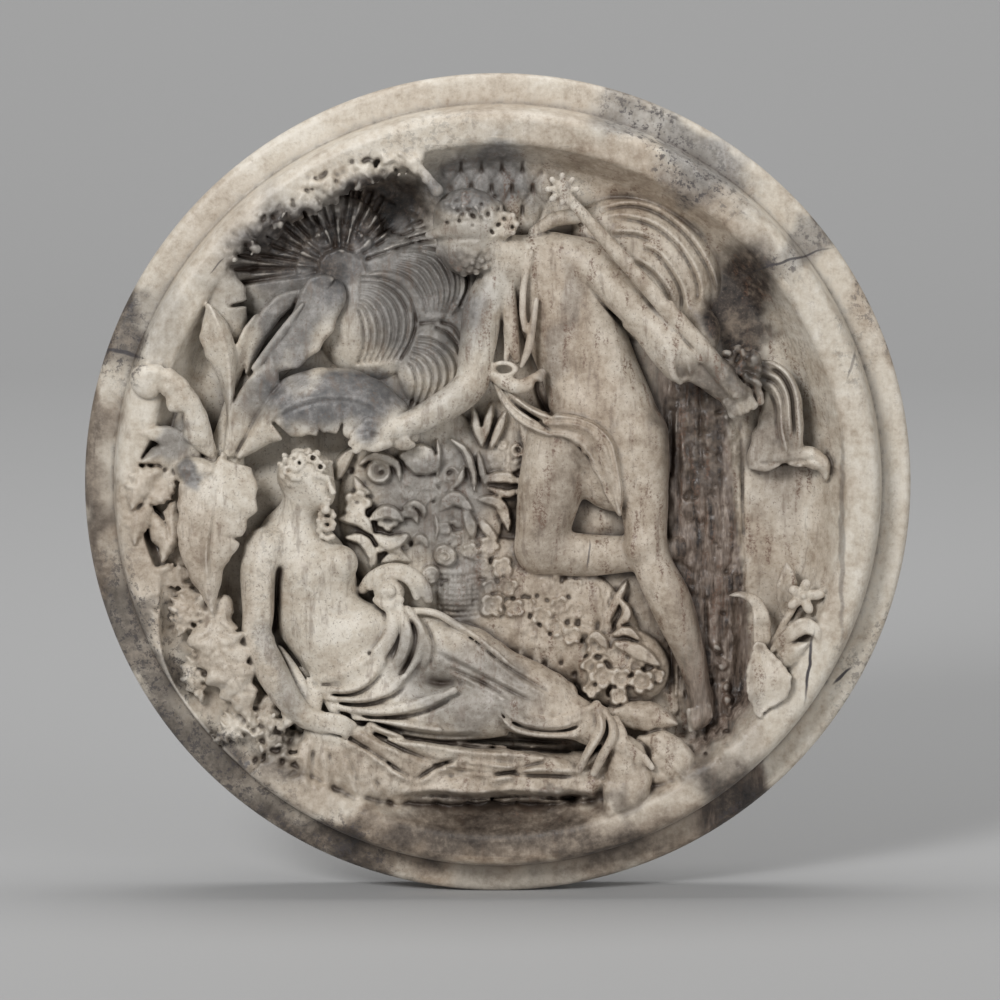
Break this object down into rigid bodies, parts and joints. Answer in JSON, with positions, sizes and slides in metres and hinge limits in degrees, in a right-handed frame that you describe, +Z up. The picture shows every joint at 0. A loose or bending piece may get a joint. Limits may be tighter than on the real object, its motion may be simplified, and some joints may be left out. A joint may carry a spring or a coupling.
{
  "type": "relief plaque",
  "caption": "Round marble wall plaque with a stepped rim and a sunken field carved in high relief: a youth with a star wand bends over a sleeping woman among leaves and flowers.",
  "frame": {"origin": "centre of the flat back face", "axes": "+Z up the wall, +Y into the wall along the plaque's own axis, so the carved front faces -Y; +X to the viewer's right"},
  "size_m": [0.3, 0.0415, 0.3],
  "materials": {
    "marble": "honed, lightly polished on the high points"
  },
  "bodies": {
    "root": {"relief_plaque": "marble"}
  },
  "joints": []
}
